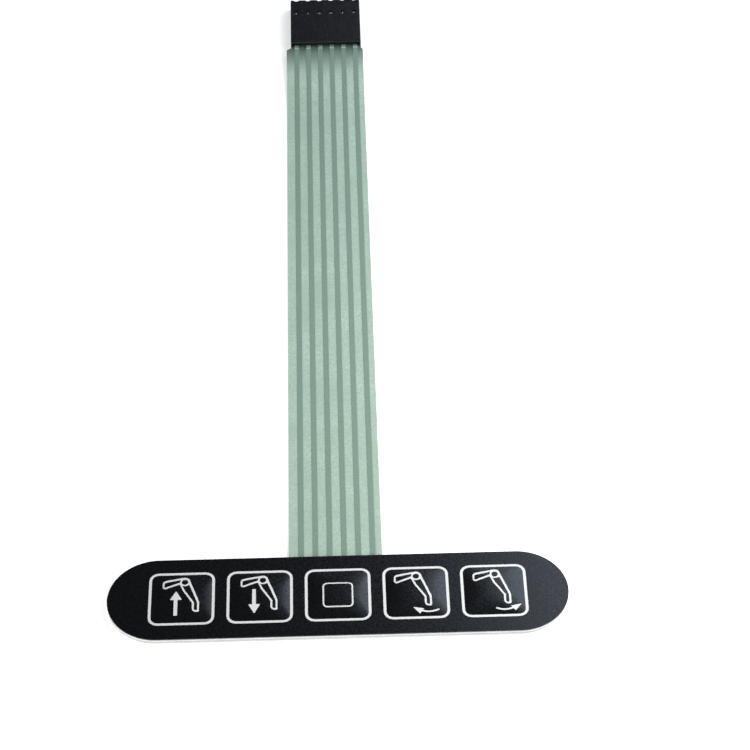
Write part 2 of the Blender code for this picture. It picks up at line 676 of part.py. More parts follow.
def make_materials():
    return {
        "overlay": new_material("textured_black_polyester", "#1C1D20", 0.55),
        "print": new_material("white_screen_ink", "#E4E4E2", 0.5),
        "adhesive": new_material("acrylic_adhesive", "#E9E9E4", 0.35),
        "clear_film": new_material("clear_polyester", "#E6EAEA", 0.25),
        "film": new_material("mint_varnished_polyester", "#B4CABC", 0.4),
        "silver_ink": new_material("varnished_silver_ink", "#80968A", 0.45),
        "liner": new_material("white_release_paper", "#F1F0EB", 0.7),
        "dome": new_material("stainless_spring_steel", "#B9BABA", 0.25, 1.0),
        "housing": new_material("black_moulded_nylon", "#212226", 0.5),
        "contact": new_material("tin_plated_bronze", "#C4C4C0", 0.3, 1.0),
    }


def main():
    for old in list(bpy.data.objects):
        bpy.data.objects.remove(old)
    parts = new_collection("membrane_keypad")
    cutters = new_collection("cutters")
    materials = make_materials()
    make_overlay(materials["overlay"], parts)
    make_key_frames(materials["print"], parts)
    make_layers(materials, parts)
    make_domes(materials["dome"], parts, cutters)
    make_circuit(materials, parts)
    make_housing(materials["housing"], parts, cutters)
    make_contacts(materials["contact"], parts)
    bpy.context.view_layer.update()


main()
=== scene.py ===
"""Looks of the membrane keypad: its overlay, screen print, flat film tail and crimp connector."""

import math

import bmesh
import bpy
from bpy.props import FloatProperty, FloatVectorProperty, PointerProperty
from mathutils import Euler, Matrix, Vector


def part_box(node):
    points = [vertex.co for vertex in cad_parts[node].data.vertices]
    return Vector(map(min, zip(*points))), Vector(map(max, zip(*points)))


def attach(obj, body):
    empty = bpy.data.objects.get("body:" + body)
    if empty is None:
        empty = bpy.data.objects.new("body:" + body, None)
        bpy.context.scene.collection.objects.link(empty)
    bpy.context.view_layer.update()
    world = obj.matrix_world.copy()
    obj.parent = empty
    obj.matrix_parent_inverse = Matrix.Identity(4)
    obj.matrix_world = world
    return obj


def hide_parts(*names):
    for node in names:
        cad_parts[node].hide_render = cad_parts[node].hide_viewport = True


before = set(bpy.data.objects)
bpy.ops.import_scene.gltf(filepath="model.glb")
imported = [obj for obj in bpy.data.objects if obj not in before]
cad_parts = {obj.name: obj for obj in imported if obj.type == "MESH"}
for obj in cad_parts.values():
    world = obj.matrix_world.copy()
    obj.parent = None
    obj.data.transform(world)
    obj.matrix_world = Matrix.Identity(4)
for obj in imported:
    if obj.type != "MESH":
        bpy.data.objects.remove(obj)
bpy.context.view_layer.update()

bl_info = {
    "name": "Membrane Keypad",
    "version": (1, 0, 0),
    "blender": (4, 5, 0),
    "location": "3D View > Sidebar > Keypad",
    "description": "Finishes for a membrane keypad with embossed keys, a film tail and a connector",
    "category": "Object",
}

MM = 0.001

KEY_FRAMES = sorted(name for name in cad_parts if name.startswith("key_frame_"))
TRACKS = sorted(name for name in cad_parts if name.startswith("key_track_")) + ["common_track"]
DOMES = sorted(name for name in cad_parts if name.startswith("snap_dome_"))
CONTACTS = sorted(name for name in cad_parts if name.startswith("crimp_contact_"))
ADHESIVES = ("overlay_adhesive", "retainer_adhesive", "rear_adhesive")

# Places that the built keypad gives
OVERLAY_LOW, OVERLAY_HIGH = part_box("graphic_overlay")
FRAME_LOW, FRAME_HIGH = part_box(KEY_FRAMES[0])
KEYPAD_LENGTH = OVERLAY_HIGH.x - OVERLAY_LOW.x
KEYPAD_WIDTH = OVERLAY_HIGH.y - OVERLAY_LOW.y
KEY_CENTRES = [(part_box(name)[0].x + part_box(name)[1].x) / 2 for name in KEY_FRAMES]
PRINT_GAP = 0.02 * MM
OVERLAY_TOP = FRAME_LOW.z - PRINT_GAP
PILLOW_RISE = OVERLAY_HIGH.z - OVERLAY_TOP

# Forms that the overlay repeats from the built one
FRAME_STROKE = 0.48 * MM
OVERLAY_THICKNESS = 0.20 * MM
WINDOW_RADIUS = 1.22 * MM
PILLOW_POWER = 2.6
WINDOW_HALF_WIDTH = (FRAME_HIGH.x - FRAME_LOW.x) / 2 - FRAME_STROKE
WINDOW_HALF_HEIGHT = (FRAME_HIGH.y - FRAME_LOW.y) / 2 - FRAME_STROKE

# Where the tail meets the connector, and how far from there the painted shadow on the tail, the
# painted shade in the connector's mouth and the crimps reach
HOUSING_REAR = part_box("connector_housing")[0].y
SHADOW_REACH = 10.0 * MM
MOUTH_REACH = 0.5 * MM
CRIMP_REACH = 7.0 * MM

# Facets, and how finely the pillows' height is found
END_STEPS = 96
CORNER_STEPS = 12
SIDE_STEPS = 6
PILLOW_STEPS = 20
BEND_STEPS = 6
DRAPE_STEP = 0.35 * MM
WELD = 0.001 * MM
HEIGHT_HALVINGS = 24

# The number that a face of the overlay carries while its mesh is made, on a pillow and elsewhere
PILLOW_MARK = 1
PLAIN_MARK = 0

# Patterns: the span that Blender's noise mostly keeps to, the stretch of the metals' rolling lines,
# and how upright a face of the film is for it to carry varnish
NOISE_LOW, NOISE_HIGH = 0.3, 0.7
STRIP_STRETCH = 0.08
DOME_STRETCH = 0.05
VARNISHED_UPRIGHT = 0.5

# Symbols. Each corner is its place from the middle of the key and its rounding radius, and every
# size here is in millimetres.
LEG = [(3.10, -1.06, 0.75), (3.10, -3.19, 0.28), (1.86, -3.28, 0.72), (1.86, -1.28, 0.65),
       (0.20, 1.42, 2.0), (-0.35, 2.95, 0.2), (-3.34, 1.73, 0.50), (-3.34, 3.80, 0.70),
       (1.19, 4.806, 0.95), (1.62, 3.15, 1.5)]
SHANK_HOLE = [(2.76, -1.27, 0.65), (2.76, -2.90, 0.12), (2.18, -2.86, 0.38), (2.21, -1.21, 0.36),
              (0.53, 1.54, 1.7), (0.07, 2.66, 0.02), (0.63, 2.29, 0.92), (1.30, 2.85, 0.12)]
THIGH_HOLE = [(-0.21, 4.05, 0.05), (-3.03, 3.41, 0.29), (-3.03, 2.24, 0.14), (-0.36, 3.40, 0.08)]
KNEE = (0.53, 3.46)
KNEE_HOLE_HALVES = (0.56, 0.63)
DOWN_ARROW = [(-1.31, 1.39, 0.12), (-1.31, -1.97, 0.05), (-2.00, -1.97, 0.08), (-0.95, -3.94, 0.08),
              (0.10, -1.97, 0.08), (-0.66, -1.97, 0.05), (-0.66, 1.39, 0.12)]
SWING_ARROW = [(-0.62, -3.46, 0.04), (1.27, -3.79, 0.04), (1.05, -4.09, 0.05), (2.27, -4.49, 3.1),
               (3.82, -3.82, 0.07), (3.94, -4.10, 0.07), (2.25, -4.80, 3.6), (0.86, -4.36, 0.05),
               (0.53, -4.81, 0.04)]
STOP_CENTRE = -0.31
STOP_HALF_WIDTH = 2.67
STOP_HALF_HEIGHT = 2.74
STOP_RADIUS = 0.85
STOP_STROKE = 0.27

# The first key's arrow is the second's turned over, so each height is taken from the sum of its
# two ends'. The last key's is the fourth's, mirrored about a line, tilted and raised.
ARROW_ENDS = DOWN_ARROW[0][1] + DOWN_ARROW[3][1]
SWING_MIRROR = 2.0
SWING_TILT = 0.08
SWING_RAISE = 0.05

# The key with the square, counted from nought, and how far to the right each key's leg stands
STOP_KEY = 2
LEG_SHIFTS = (0.0, 0.0, 0.0, -0.43, -0.25)

# Camera, found by fitting the keypad's own sizes to the picture. Its turn is in degrees, and its
# lens and sensor are in millimetres.
CAMERA_PLACE = (1.8007 * MM, -277.3414 * MM, 334.7776 * MM)
CAMERA_TURN = (44.7683, 0.5078, -1.5713)
CAMERA_LENS = 119.19
CAMERA_SENSOR = 36.0
CAMERA_NEAR = 10.0 * MM


def linear(hex_colour):
    """Linear RGB for an sRGB hex colour."""
    channels = [int(hex_colour[place:place + 2], 16) / 255 for place in (1, 3, 5)]
    return tuple(c / 12.92 if c <= 0.04045 else ((c + 0.055) / 1.055) ** 2.4 for c in channels)


def add_node(tree, kind, inputs=None, **settings):
    """A new node with its settings. Each input takes a value, or the output that feeds it."""
    node = tree.nodes.new(kind)
    for name, value in settings.items():
        setattr(node, name, value)
    for name, value in (inputs or {}).items():
        if isinstance(value, bpy.types.NodeSocket):
            tree.links.new(value, node.inputs[name])
        else:
            node.inputs[name].default_value = value
    return node


def new_finish(name, roughness, ior=1.5, metallic=0.0):
    """A material with its Principled shader and the coordinates in metres that its patterns use."""
    material = bpy.data.materials.new(name)
    material.use_nodes = True
    tree = material.node_tree
    shader = tree.nodes["Principled BSDF"]
    shader.inputs["Roughness"].default_value = roughness
    shader.inputs["Metallic"].default_value = metallic
    if metallic == 0:
        shader.inputs["IOR"].default_value = ior
    place = add_node(tree, "ShaderNodeTexCoord").outputs["Object"]
    return material, tree, shader, place


def grain(tree, place, size, low, high, detail=2.0):
    """A soft random pattern with features of this size, spread between two values."""
    noise = add_node(tree, "ShaderNodeTexNoise",
                     {"Vector": place, "Scale": 1 / size, "Detail": detail})
    spread = add_node(tree, "ShaderNodeMapRange",
                      {"Value": noise.outputs["Fac"], "From Min": NOISE_LOW, "From Max": NOISE_HIGH,
                       "To Min": low, "To Max": high})
    return spread.outputs["Result"]


def blend_colours(tree, share, first, second):
    """The colour between two at this share. Each is a hex colour or an output."""
    ends = [(*linear(end), 1) if isinstance(end, str) else end for end in (first, second)]
    mix = add_node(tree, "ShaderNodeMix", {0: share, 6: ends[0], 7: ends[1]}, data_type="RGBA")
    return mix.outputs[2]


def relief(tree, shader, height, depth):
    """Raise the surface by this pattern, to this depth in metres."""
    bump = add_node(tree, "ShaderNodeBump", {"Height": height, "Strength": 1.0, "Distance": depth})
    tree.links.new(bump.outputs["Normal"], shader.inputs["Normal"])


def product(tree, first, second):
    """Two colours multiplied."""
    mix = add_node(tree, "ShaderNodeMix", {0: 1.0, 6: first, 7: second}, data_type="RGBA",
                   blend_type="MULTIPLY")
    return mix.outputs[2]


def shade(tree, shader, colour, base):
    """Base colour as a pattern times the colour that the user can change."""
    tree.links.new(product(tree, colour, (*base, 1)), shader.inputs["Base Color"])


def share_along(tree, place, start, end):
    """Nought before the first of two places along the tail, one past the second, smooth between."""
    along = add_node(tree, "ShaderNodeSeparateXYZ", {"Vector": place}).outputs["Y"]
    share = add_node(tree, "ShaderNodeMapRange",
                     {"Value": along, "From Min": start, "From Max": end},
                     interpolation_type="SMOOTHSTEP")
    return share.outputs["Result"]


# Polyester film, textured on its face by an embossing roll, with black ink screened behind it.
# The eye sees deep black under a broken, satin sheen that gathers on one shoulder of each key. The
# roll's grain is about 0.05 mm, and it is drawn at 0.3 to 0.4 mm so that it shows.
def textured_polyester(colour):
    material, tree, shader, place = new_finish("textured_black_polyester", 0.29, ior=1.57)
    mottle = grain(tree, place, 0.35 * MM, 0.0, 1.0, detail=3.0)
    shade(tree, shader, blend_colours(tree, mottle, "#D0D0D0", "#FFFFFF"), colour)
    tree.links.new(grain(tree, place, 0.4 * MM, 0.24, 0.34, detail=0.0), shader.inputs["Roughness"])
    relief(tree, shader, grain(tree, place, 0.30 * MM, 0.0, 1.0), 0.0035 * MM)
    return material


# Screen-printed vinyl ink. The eye sees an even matt white with the faint unevenness of the mesh,
# whose threads stand 0.1 mm apart and are drawn at 0.2 mm.
def screen_ink(colour):
    material, tree, shader, place = new_finish("white_screen_ink", 0.5)
    mottle = grain(tree, place, 0.2 * MM, 0.0, 1.0)
    shade(tree, shader, blend_colours(tree, mottle, "#F0F0EE", "#FFFFFF"), colour)
    relief(tree, shader, mottle, 0.002 * MM)
    return material


# Heat-stabilised polyester under a screened pale green insulating varnish.
# The eye sees a milky mint sheet with a fine sparkle, and a little of what lies under it. Its
# colour carries a painted shadow of the black connector, darkening to a dull blue-green over the
# last 10 mm before it, and a darker painted shade in the connector's mouth.
# The varnish's flecks are about 0.2 mm and are drawn at 0.4 mm, stronger in patches of some 9 mm.
# Its cut sides have no varnish and stay clear and pale.
def varnished_film(colour, alpha):
    material, tree, shader, place = new_finish("mint_varnished_polyester", 0.38, ior=1.57)
    shader.inputs["Alpha"].default_value = alpha
    speckle = grain(tree, place, 0.4 * MM, 0.0, 1.0, detail=4.0)
    patches = grain(tree, place, 9.0 * MM, 0.35, 1.0)
    flecks = add_node(tree, "ShaderNodeMath", {0: speckle, 1: patches}, operation="MULTIPLY")
    pattern = blend_colours(tree, flecks.outputs[0], "#D6DEDA", "#FFFFFF")
    # Painted shadow of the black connector, over the last SHADOW_REACH of the tail before it
    near = share_along(tree, place, HOUSING_REAR - SHADOW_REACH, HOUSING_REAR)
    painted_connector_shadow = blend_colours(tree, near, "#FFFFFF", "#909A99")
    # Painted shade inside the connector's mouth
    inside = share_along(tree, place, HOUSING_REAR, HOUSING_REAR + MOUTH_REACH)
    mouth = blend_colours(tree, inside, "#FFFFFF", "#7C8686")
    varnish = product(tree, product(tree, pattern, product(tree, painted_connector_shadow, mouth)), (*colour, 1))
    normal = add_node(tree, "ShaderNodeTexCoord").outputs["Normal"]
    up = add_node(tree, "ShaderNodeSeparateXYZ", {"Vector": normal}).outputs["Z"]
    upright = add_node(tree, "ShaderNodeMath", {0: up}, operation="ABSOLUTE").outputs[0]
    coated = add_node(tree, "ShaderNodeMath", {0: upright, 1: VARNISHED_UPRIGHT},
                      operation="GREATER_THAN").outputs[0]
    tree.links.new(blend_colours(tree, coated, "#F8FAF9", varnish), shader.inputs["Base Color"])
    relief(tree, shader, speckle, 0.006 * MM)
    return material


# Silver-filled polymer ink under the same varnish. The eye sees a flat grey-green stripe with
# a soft glint from the flakes, which are about 0.01 mm and drawn at 0.2 mm.
def varnished_silver(colour):
    material, tree, shader, place = new_finish("varnished_silver_ink", 0.42, ior=1.57)
    flakes = grain(tree, place, 0.2 * MM, 0.0, 1.0, detail=3.0)
    shade(tree, shader, blend_colours(tree, flakes, "#DDE2DF", "#FFFFFF"), colour)
    relief(tree, shader, flakes, 0.004 * MM)
    return material


# Glass-filled nylon, moulded in a spark-eroded tool. The eye sees a satin black with a fine
# stipple, about 0.05 mm across and drawn at 0.35 mm.
def moulded_nylon(colour):
    material, tree, shader, place = new_finish("black_moulded_nylon", 0.38, ior=1.53)
    stipple = grain(tree, place, 0.35 * MM, 0.0, 1.0, detail=3.0)
    shade(tree, shader, blend_colours(tree, stipple, "#484848", "#FFFFFF"), colour)
    tree.links.new(grain(tree, place, 0.6 * MM, 0.32, 0.44), shader.inputs["Roughness"])
    relief(tree, shader, stipple, 0.028 * MM)
    return material


# Phosphor bronze strip, stamped and then tin plated. The eye sees a pale, slightly cloudy metal
# with the strip's rolling lines along it, drawn at 0.15 mm. A painted shade darkens it in the
# housing's mouth. The green cast of its colour is a painted reflection of the film on its tabs.
# Further in, towards the lances in the latch windows, its colour turns a pinkish grey that cancels
# that painted cast, so their glint from the lamps comes out plain grey.
def tin_plating(colour):
    material, tree, shader, place = new_finish("tin_plated_bronze", 0.65, metallic=0.8)
    along = add_node(tree, "ShaderNodeMapping", {"Vector": place, "Scale": (1, STRIP_STRETCH, 1)})
    lines = grain(tree, along.outputs["Vector"], 0.15 * MM, 0.0, 1.0)
    rolled = blend_colours(tree, lines, "#E8E8E8", "#FFFFFF")
    mouth = HOUSING_REAR + MOUTH_REACH
    # Painted shade: the plating darkens just inside the housing's mouth
    painted_mouth_shade = blend_colours(tree, share_along(tree, place, HOUSING_REAR, mouth), "#FFFFFF", "#585858")
    # Towards the lances the colour turns a pinkish grey that cancels the painted green reflection
    inside = share_along(tree, place, mouth, HOUSING_REAR + CRIMP_REACH)
    shade(tree, shader, product(tree, rolled, blend_colours(tree, inside, painted_mouth_shade, "#D8C2C6")), colour)
    tree.links.new(grain(tree, place, 0.7 * MM, 0.60, 0.72), shader.inputs["Roughness"])
    relief(tree, shader, lines, 0.003 * MM)
    return material


# Stainless spring strip, rolled bright and pressed into a dome. The eye sees a cold mirror broken
# by fine rolling lines, drawn at 0.12 mm.
def rolled_stainless(colour):
    material, tree, shader, place = new_finish("rolled_stainless_steel", 0.22, metallic=1.0)
    along = add_node(tree, "ShaderNodeMapping", {"Vector": place, "Scale": (DOME_STRETCH, 1, 1)})
    lines = grain(tree, along.outputs["Vector"], 0.12 * MM, 0.0, 1.0)
    shade(tree, shader, blend_colours(tree, lines, "#E2E2E2", "#FFFFFF"), colour)
    sheen = grain(tree, along.outputs["Vector"], 0.3 * MM, 0.17, 0.27)
    tree.links.new(sheen, shader.inputs["Roughness"])
    return material


# Acrylic transfer adhesive between two films. The eye sees a milky edge with small bubbles and
# ripples about 0.4 mm across.
def acrylic_adhesive(colour):
    material, tree, shader, place = new_finish("acrylic_adhesive", 0.35, ior=1.47)
    ripples = grain(tree, place, 0.4 * MM, 0.0, 1.0)
    shade(tree, shader, blend_colours(tree, ripples, "#EDEDEB", "#FFFFFF"), colour)
    relief(tree, shader, ripples, 0.004 * MM)
    return material


# Clear polyester sheet, cast and rolled smooth. The eye sees a pale, glassy edge with faint haze.
def clear_polyester(colour):
    material, tree, shader, place = new_finish("clear_polyester", 0.2, ior=1.57)
    haze = grain(tree, place, 1.5 * MM, 0.0, 1.0)
    shade(tree, shader, blend_colours(tree, haze, "#F2F4F4", "#FFFFFF"), colour)
    tree.links.new(grain(tree, place, 1.0 * MM, 0.16, 0.26), shader.inputs["Roughness"])
    return material


# Bleached kraft paper, calendered and silicone coated. The eye sees a white, slightly shiny sheet
# with a cloud of fibres, about 0.3 mm apart.
def release_paper(colour):
    material, tree, shader, place = new_finish("silicone_coated_paper", 0.55)
    fibres = grain(tree, place, 0.3 * MM, 0.0, 1.0, detail=4.0)
    shade(tree, shader, blend_colours(tree, fibres, "#F1EFE9", "#FFFFFF"), colour)
    relief(tree, shader, fibres, 0.006 * MM)
    return material


def arc(centre_x, centre_y, radius, start, end, steps):
    """Points along an arc, both ends included. Angles are in radians."""
    angles = [start + (end - start) * step / steps for step in range(steps + 1)]
    return [(centre_x + radius * math.cos(a), centre_y + radius * math.sin(a)) for a in angles]


def stadium(length, width):
    """A strip with round ends."""
    radius = width / 2
    reach = length / 2 - radius
    right = arc(reach, 0, radius, -math.pi / 2, math.pi / 2, END_STEPS)
    left = arc(-reach, 0, radius, math.pi / 2, 3 * math.pi / 2, END_STEPS)
    return right + left


def rounded_rectangle(centre_x, half_width, half_height, radius):
    """Four corner arcs with even points along the sides between them."""
    points = []
    for turn, (side_x, side_y) in enumerate(((1, 1), (-1, 1), (-1, -1), (1, -1))):
        start = turn * math.pi / 2
        points += arc(centre_x + side_x * (half_width - radius), side_y * (half_height - radius),
                      radius, start, start + math.pi / 2, CORNER_STEPS)
        last_x, last_y = points[-1]
        next_x, next_y = ((-side_x, side_y), (side_x, -side_y))[turn % 2]
        to_x = centre_x + next_x * (half_width - radius if turn % 2 == 0 else half_width)
        to_y = next_y * (half_height if turn % 2 == 0 else half_height - radius)
        for step in range(1, SIDE_STEPS):
            share = step / SIDE_STEPS
            points.append((last_x + (to_x - last_x) * share, last_y + (to_y - last_y) * share))
    return points


def pillow_radius(share):
    """Corner radius of a key's level line at this share of its window."""
    half = min(WINDOW_HALF_WIDTH, WINDOW_HALF_HEIGHT) * share
    return half * (1 - share * share) + WINDOW_RADIUS * share ** 3


def pillow_height(share):
    """Height of that level line above the flat face."""
    return PILLOW_RISE * (1 - share ** PILLOW_POWER)


def surface_height(x, y):
    """Height of the overlay's face at a point: flat between the keys, domed in their windows."""
    centre = min(KEY_CENTRES, key=lambda key: abs(key - x))
    across, up = abs(x - centre), abs(y)
    if across >= WINDOW_HALF_WIDTH or up >= WINDOW_HALF_HEIGHT:
        return OVERLAY_TOP
    low, high = 0.0, 1.0
    for _ in range(HEIGHT_HALVINGS):
        share = (low + high) / 2
        radius = pillow_radius(share)
        reach_x = across - WINDOW_HALF_WIDTH * share + radius
        reach_y = up - WINDOW_HALF_HEIGHT * share + radius
        past_corner = math.hypot(max(reach_x, 0), max(reach_y, 0))
        if past_corner + min(max(reach_x, reach_y), 0) - radius > 0:
            low = share
        else:
            high = share
    return OVERLAY_TOP + pillow_height(high)


def filled_mesh(name, outlines):
    """A flat mesh between the first outline and the holes that follow it."""
    curve = bpy.data.curves.new(name, "CURVE")
    curve.dimensions = "2D"
    curve.fill_mode = "BOTH"
    for outline in outlines:
        spline = curve.splines.new("POLY")
        spline.points.add(len(outline) - 1)
        for point, (x, y) in zip(spline.points, outline):
            point.co = (x, y, 0, 1)
        spline.use_cyclic_u = True
    shape = bpy.data.objects.new(name, curve)
    bpy.context.scene.collection.objects.link(shape)
    bpy.context.view_layer.update()
    graph = bpy.context.evaluated_depsgraph_get()
    mesh = bpy.data.meshes.new_from_object(shape.evaluated_get(graph))
    bpy.data.objects.remove(shape)
    bm = bmesh.new()
    bm.from_mesh(mesh)
    bmesh.ops.remove_doubles(bm, verts=bm.verts, dist=WELD)
    bmesh.ops.recalc_face_normals(bm, faces=bm.faces)
    if sum(face.normal.z for face in bm.faces) < 0:
        bmesh.ops.reverse_faces(bm, faces=bm.faces)
    return bm, mesh


def place_piece(name, mesh, nodes=()):
    """Show a mesh as a piece of the keypad."""
    mesh.name = name
    piece = bpy.data.objects.new(name, mesh)
    bpy.context.scene.collection.objects.link(piece)
    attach(piece, "root")
    if nodes:
        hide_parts(*nodes)
    return piece


def thicken(piece, thickness):
    """Give a piece this thickness below its face."""
    sheet = piece.modifiers.new("sheet", "SOLIDIFY")
    sheet.thickness = thickness
    sheet.offset = -1


def dress(nodes, material):
    """Give built pieces their finish."""
    for name in nodes:
        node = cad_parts[name]
        node.data.materials.clear()
        node.data.materials.append(material)


def add_pillow(bm, centre):
    """Fine rings of marked faces from the edge of a key's window to the top of its pillow."""
    rings = []
    for step in range(PILLOW_STEPS):
        share = 1 - step / PILLOW_STEPS
        ring = rounded_rectangle(centre, WINDOW_HALF_WIDTH * share, WINDOW_HALF_HEIGHT * share,
                                 pillow_radius(share))
        rings.append([bm.verts.new((x, y, pillow_height(share))) for x, y in ring])
    peak = bm.verts.new((centre, 0, PILLOW_RISE))
    last = rings[-1]
    count = len(last)
    made = []
    for outer, inner in zip(rings, rings[1:]):
        for index in range(count):
            after = (index + 1) % count
            made.append(bm.faces.new((outer[index], outer[after], inner[after], inner[index])))
    for index in range(count):
        made.append(bm.faces.new((last[index], last[(index + 1) % count], peak)))
    for face in made:
        face.material_index = PILLOW_MARK


def rounded_outline(corners, shift=0.0):
    """An outline in metres, from corners in millimetres that each have a rounding radius."""
    points = []
    for index, (x, y, radius) in enumerate(corners):
        corner = Vector((x, y))
        back = (Vector(corners[index - 1][:2]) - corner).normalized()
        ahead = (Vector(corners[(index + 1) % len(corners)][:2]) - corner).normalized()
        half = back.angle(ahead) / 2
        middle = corner + (back + ahead).normalized() * radius / math.sin(half)
        start = corner + back * radius / math.tan(half) - middle
        turn = math.copysign(math.pi - 2 * half, back.y * ahead.x - back.x * ahead.y)
        for step in range(BEND_STEPS + 1):
            spoke = Matrix.Rotation(turn * step / BEND_STEPS, 2) @ start
            points.append(((middle.x + spoke.x + shift) * MM, (middle.y + spoke.y) * MM))
    return points


def leg_shape(shift):
    """The outline of the bent leg and its three holes."""
    half_width, half_height = KNEE_HOLE_HALVES
    knee = [((KNEE[0] + shift + x * half_width) * MM, (KNEE[1] + y * half_height) * MM)
            for x, y in arc(0, 0, 1, 0, 2 * math.pi, 4 * BEND_STEPS)[:-1]]
    return [rounded_outline(corners, shift) for corners in (LEG, SHANK_HOLE, THIGH_HOLE)] + [knee]


def stop_shape():
    """The square of the stop key, as its outline and its hole."""
    square = [rounded_rectangle(0, STOP_HALF_WIDTH * MM - inset, STOP_HALF_HEIGHT * MM - inset,
                                STOP_RADIUS * MM - inset) for inset in (0.0, STOP_STROKE * MM)]
    return [[(x, y + STOP_CENTRE * MM) for x, y in outline] for outline in square]


def symbol_shapes(key):
    """The shapes of a key's symbol, each as its outline and its holes."""
    if key == STOP_KEY:
        return [stop_shape()]
    arrow = {
        0: [(x, ARROW_ENDS - y, radius) for x, y, radius in DOWN_ARROW],
        1: DOWN_ARROW,
        3: SWING_ARROW,
        4: [(2 * SWING_MIRROR - x, y + SWING_RAISE + SWING_TILT * (SWING_MIRROR - x), radius)
            for x, y, radius in SWING_ARROW],
    }[key]
    return [leg_shape(LEG_SHIFTS[key]), [rounded_outline(arrow)]]


def symbol_mesh(key, thickness):
    """A key's symbol, cut into small faces and laid on its pillow."""
    whole = bmesh.new()
    centre = KEY_CENTRES[key]
    for outlines in symbol_shapes(key):
        bm, mesh = filled_mesh("symbol_shape", outlines)
        for axis in (0, 1):
            normal = (1 - axis, axis, 0)
            low = min(vert.co[axis] for vert in bm.verts)
            high = max(vert.co[axis] for vert in bm.verts)
            for step in range(math.floor(low / DRAPE_STEP) + 1, math.ceil(high / DRAPE_STEP)):
                plane = [part * step * DRAPE_STEP for part in normal]
                bmesh.ops.bisect_plane(bm, geom=bm.verts[:] + bm.edges[:] + bm.faces[:], dist=WELD,
                                       plane_co=plane, plane_no=normal)
        bm.to_mesh(mesh)
        bm.free()
        whole.from_mesh(mesh)
        bpy.data.meshes.remove(mesh)
    for vert in whole.verts:
        vert.co.x += centre
        vert.co.z = surface_height(vert.co.x, vert.co.y) + PRINT_GAP + thickness
    mesh = bpy.data.meshes.new(f"key_symbol_{key + 1}")
    whole.to_mesh(mesh)
    whole.free()
    return mesh


class KeypadSizes(bpy.types.PropertyGroup):
    """Sizes of the print and the stage."""
    ink: FloatProperty(name="Ink thickness", description="Thickness of the white print",
                       default=0.02 * MM, min=0.005 * MM, max=0.1 * MM,
                       subtype="DISTANCE", precision=6)
    floor: FloatProperty(name="Floor size", description="Side of the square floor",
                         default=6.0, min=1.0, max=20.0, subtype="DISTANCE")
    film_cover: FloatProperty(name="Film cover",
                              description="How much the varnished film hides what is under it",
                              default=0.80, min=0.1, max=1.0, subtype="FACTOR")


class KeypadColours(bpy.types.PropertyGroup):
    """Colours of the keypad's finishes."""
    field: FloatVectorProperty(name="Overlay", description="Black ink behind the textured film",
                               default=linear("#0E0F11"), subtype="COLOR", min=0, max=1)
    ink: FloatVectorProperty(name="Print", description="White frames and symbols",
                             default=linear("#F2F2F0"), subtype="COLOR", min=0, max=1)
    film: FloatVectorProperty(name="Tail film", description="Pale green varnish on the film",
                              default=linear("#D5EBD9"), subtype="COLOR", min=0, max=1)
    silver: FloatVectorProperty(name="Conductors", description="Silver ink under the varnish",
                                default=linear("#90A899"), subtype="COLOR", min=0, max=1)
    housing: FloatVectorProperty(name="Connector", description="Black nylon of the connector",
                                 default=linear("#15161A"), subtype="COLOR", min=0, max=1)
    # The green cast in this colour is a painted reflection of the mint film
    contact: FloatVectorProperty(name="Contacts", description="Tin plating of the contacts",
                                 default=linear("#EAFAEE"), subtype="COLOR", min=0, max=1)
    dome: FloatVectorProperty(name="Domes", description="Stainless steel of the snap domes",
                              default=linear("#C4C5C6"), subtype="COLOR", min=0, max=1)
    adhesive: FloatVectorProperty(name="Adhesive", description="Adhesive layers of the laminate",
                                  default=linear("#F4F4F1"), subtype="COLOR", min=0, max=1)
    retainer: FloatVectorProperty(name="Dome retainer", description="Clear film round the domes",
                                  default=linear("#F4F6F6"), subtype="COLOR", min=0, max=1)
    liner: FloatVectorProperty(name="Release liner", description="Coated paper on the back",
                               default=linear("#F3F2ED"), subtype="COLOR", min=0, max=1)
    floor: FloatVectorProperty(name="Floor", description="Pale floor under the keypad",
                               default=linear("#F4F4F4"), subtype="COLOR", min=0, max=1)


class KEYPAD_OT_overlay(bpy.types.Operator):
    """Lay the textured face film with its five pillows"""
    bl_idname = "keypad.overlay"
    bl_label = "Overlay"

    def execute(self, context):
        windows = [rounded_rectangle(centre, WINDOW_HALF_WIDTH, WINDOW_HALF_HEIGHT, WINDOW_RADIUS)
                   for centre in KEY_CENTRES]
        bm, mesh = filled_mesh("overlay_film", [stadium(KEYPAD_LENGTH, KEYPAD_WIDTH)] + windows)
        for centre in KEY_CENTRES:
            add_pillow(bm, centre)
        bmesh.ops.remove_doubles(bm, verts=bm.verts, dist=WELD)
        even = ([PLAIN_MARK, PLAIN_MARK], [PILLOW_MARK, PILLOW_MARK])
        for edge in bm.edges:
            edge.smooth = [face.material_index for face in edge.link_faces] in even
        for face in bm.faces:
            face.smooth = True
            face.material_index = PLAIN_MARK
        bmesh.ops.translate(bm, vec=(0, 0, OVERLAY_TOP), verts=bm.verts)
        bm.to_mesh(mesh)
        bm.free()
        mesh.materials.append(textured_polyester(context.scene.keypad_colours.field))
        piece = place_piece("overlay_film", mesh, ["graphic_overlay"])
        thicken(piece, OVERLAY_THICKNESS)
        return {"FINISHED"}


class KEYPAD_OT_print(bpy.types.Operator):
    """Print the white frames and the symbols inside them"""
    bl_idname = "keypad.print"
    bl_label = "Frames and Symbols"

    def execute(self, context):
        thickness = context.scene.keypad_sizes.ink
        material = screen_ink(context.scene.keypad_colours.ink)
        dress(KEY_FRAMES, material)
        for key in range(len(KEY_CENTRES)):
            mesh = symbol_mesh(key, thickness)
            mesh.materials.append(material)
            thicken(place_piece(f"key_symbol_{key + 1}", mesh), thickness)
        return {"FINISHED"}


